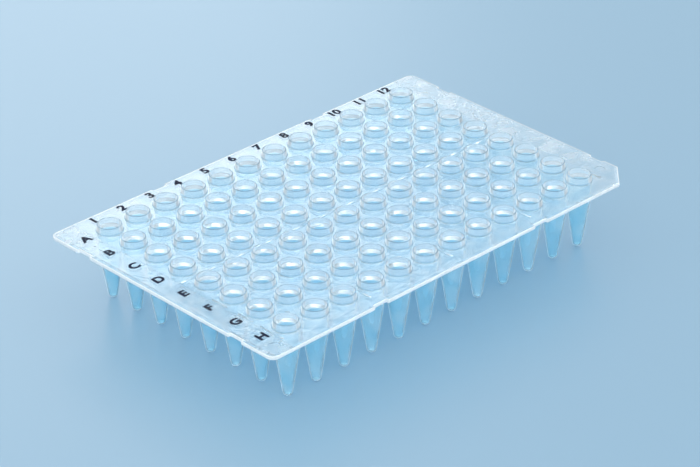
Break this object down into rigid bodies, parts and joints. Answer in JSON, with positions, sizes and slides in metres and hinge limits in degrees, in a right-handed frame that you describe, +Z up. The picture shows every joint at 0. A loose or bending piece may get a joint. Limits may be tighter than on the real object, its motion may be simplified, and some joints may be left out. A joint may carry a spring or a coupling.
{
  "type": "well plate",
  "caption": "Skirtless thermal-cycling well plate: a thin clear deck carries a grid of raised-rim conical wells, with one cut corner and a printed index.",
  "frame": {"origin": "under the middle of the well grid, on the plane that the tube tips stand on", "axes": "+X from column 1 to column 12, +Y from row H to row A, +Z up, the way the wells open"},
  "size_m": [0.1228, 0.0798, 0.0206],
  "materials": {
    "clear_polypropylene": "clear, slightly milky moulded polypropylene, glossy wells and a finely matted deck, dark blue index print"
  },
  "bodies": {
    "root": {"well_plate": "clear_polypropylene"}
  },
  "joints": []
}
